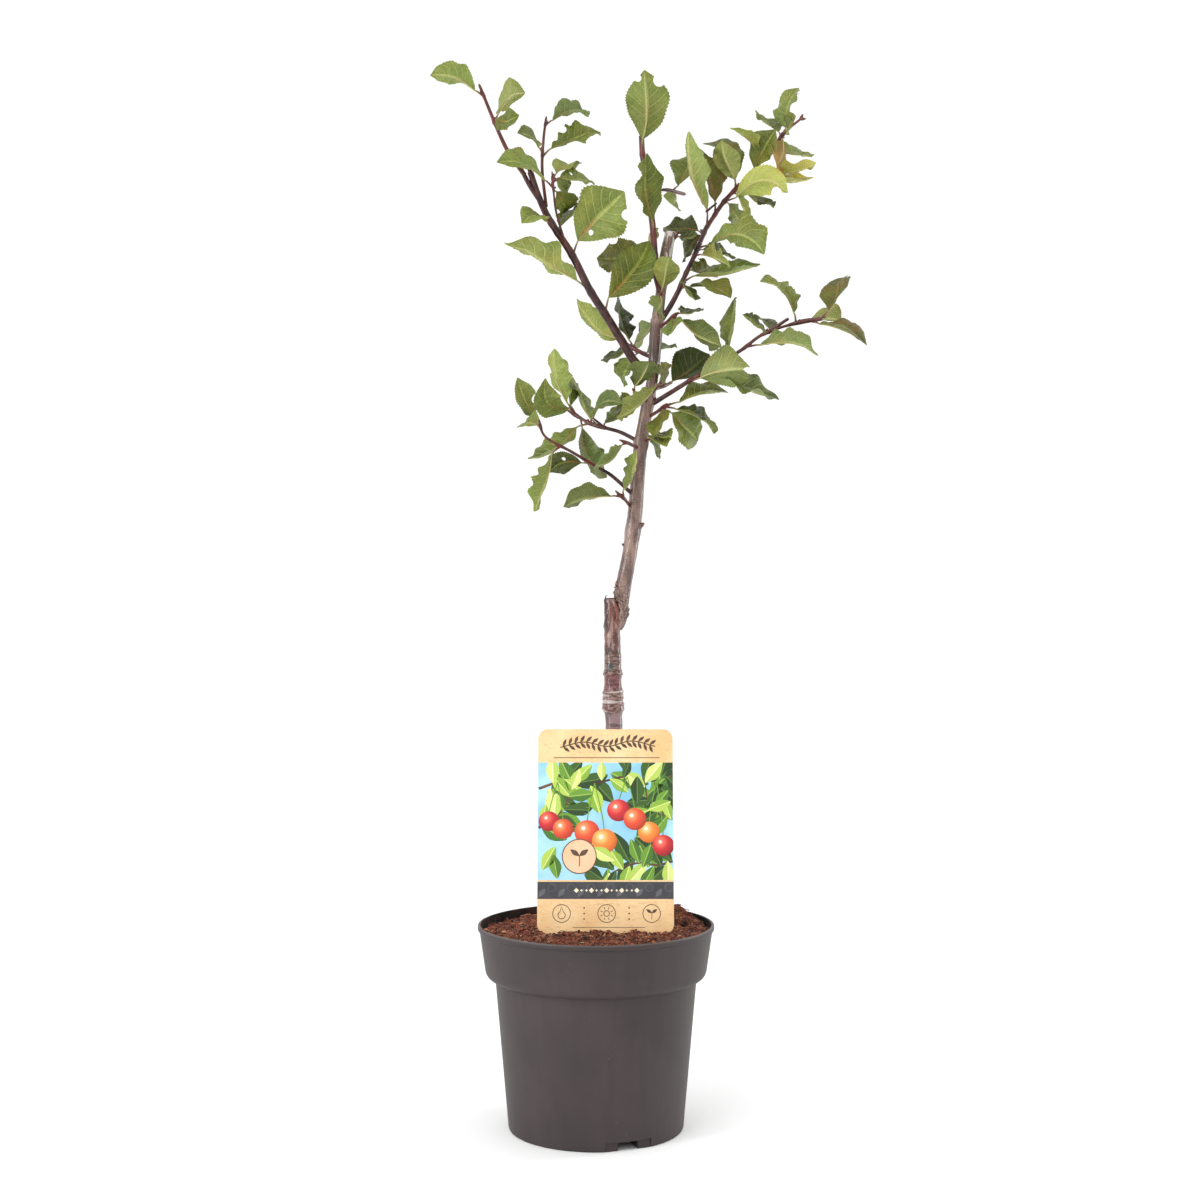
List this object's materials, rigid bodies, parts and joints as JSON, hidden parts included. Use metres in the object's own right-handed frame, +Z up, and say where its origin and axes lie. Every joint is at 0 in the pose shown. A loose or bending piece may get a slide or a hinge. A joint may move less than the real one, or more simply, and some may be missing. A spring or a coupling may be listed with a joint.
{
  "type": "potted plum tree",
  "caption": "Young grafted plum tree in leaf, standing in a round dark plastic nursery pot of soil, with a plant card that leans back towards its trunk",
  "frame": {"origin": "centre of the pot's flat underside", "axes": "+Z up along the pot's axis, -Y to the front, where the card faces, +X to the right seen from the front"},
  "size_m": [0.3903, 0.2244, 0.9934],
  "materials": {
    "pot_plastic": "matt dark grey-brown moulded plastic",
    "soil": "loose red-brown fibrous potting soil",
    "card": "printed tan card",
    "bark": "smooth grey-brown bark with lenticels",
    "young_bark": "smooth purple-brown young bark",
    "foliage": "green leaves, paler underneath"
  },
  "bodies": {
    "root": {"pot": "pot_plastic", "soil": "soil", "card": "card", "trunk": "bark", "left_bough": "young_bark", "upright_shoot": "young_bark", "right_bough": "young_bark", "right_low_bough": "young_bark", "left_low_bough": "young_bark", "lowest_left_bough": "young_bark", "left_crown_low": "foliage", "left_crown_tip": "foliage", "upright_crown": "foliage", "right_crown_low": "foliage", "right_crown_mid": "foliage", "right_crown_tip": "foliage", "right_low_near": "foliage", "right_low_far": "foliage", "left_low_crown": "foliage", "lowest_left_crown": "foliage", "lowest_spur": "foliage", "low_left_spur": "foliage", "low_right_spur": "foliage", "mid_right_spur": "foliage", "mid_upper_spur": "foliage", "mid_left_spur": "foliage", "mid_front_spur": "foliage", "fork_spur": "foliage", "top_right_spur": "foliage", "top_spur": "foliage", "crest_spur": "foliage"}
  },
  "joints": []
}
